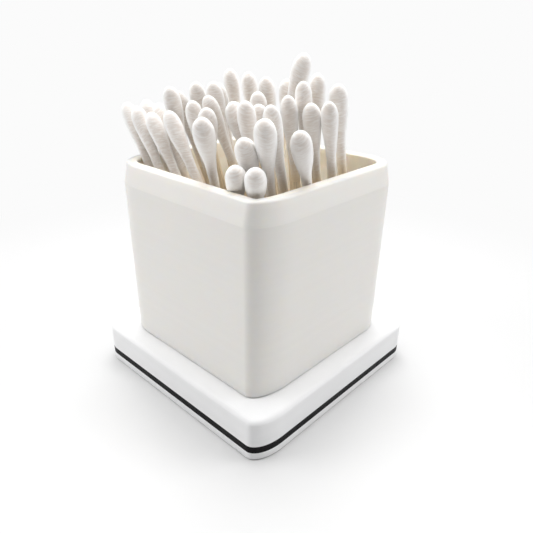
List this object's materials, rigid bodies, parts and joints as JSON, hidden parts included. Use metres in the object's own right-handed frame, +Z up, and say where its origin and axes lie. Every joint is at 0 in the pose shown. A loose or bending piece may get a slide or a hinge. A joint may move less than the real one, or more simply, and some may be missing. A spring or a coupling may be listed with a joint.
{
  "type": "cotton swab holder",
  "caption": "Square cup in warm white plastic on a thick white square plate with a black stripe, filled with cotton swabs that lean over its rim.",
  "frame": {"origin": "under the middle of the base plate, on the surface that it stands on", "axes": "+Z up, +X and -Y the two sides that the picture shows, with the front corner between them"},
  "size_m": [0.072, 0.072, 0.0961],
  "materials": {
    "plate_plastic": "satin, printed in layers",
    "cup_plastic": "silky, printed in layers",
    "cotton": "wound cotton on a wooden stick"
  },
  "bodies": {
    "root": {"base": "plate_plastic", "cup": "cup_plastic", "swab_01": "cotton", "swab_02": "cotton", "swab_03": "cotton", "swab_04": "cotton", "swab_05": "cotton", "swab_06": "cotton", "swab_07": "cotton", "swab_08": "cotton", "swab_09": "cotton", "swab_10": "cotton", "swab_11": "cotton", "swab_12": "cotton", "swab_13": "cotton", "swab_14": "cotton", "swab_15": "cotton", "swab_16": "cotton", "swab_17": "cotton", "swab_18": "cotton", "swab_19": "cotton", "swab_20": "cotton", "swab_21": "cotton", "swab_22": "cotton", "swab_23": "cotton", "swab_24": "cotton", "swab_25": "cotton", "swab_26": "cotton", "swab_27": "cotton", "swab_28": "cotton", "swab_29": "cotton", "swab_30": "cotton", "swab_31": "cotton", "swab_32": "cotton", "swab_33": "cotton", "swab_34": "cotton", "swab_35": "cotton", "swab_36": "cotton"}
  },
  "joints": []
}
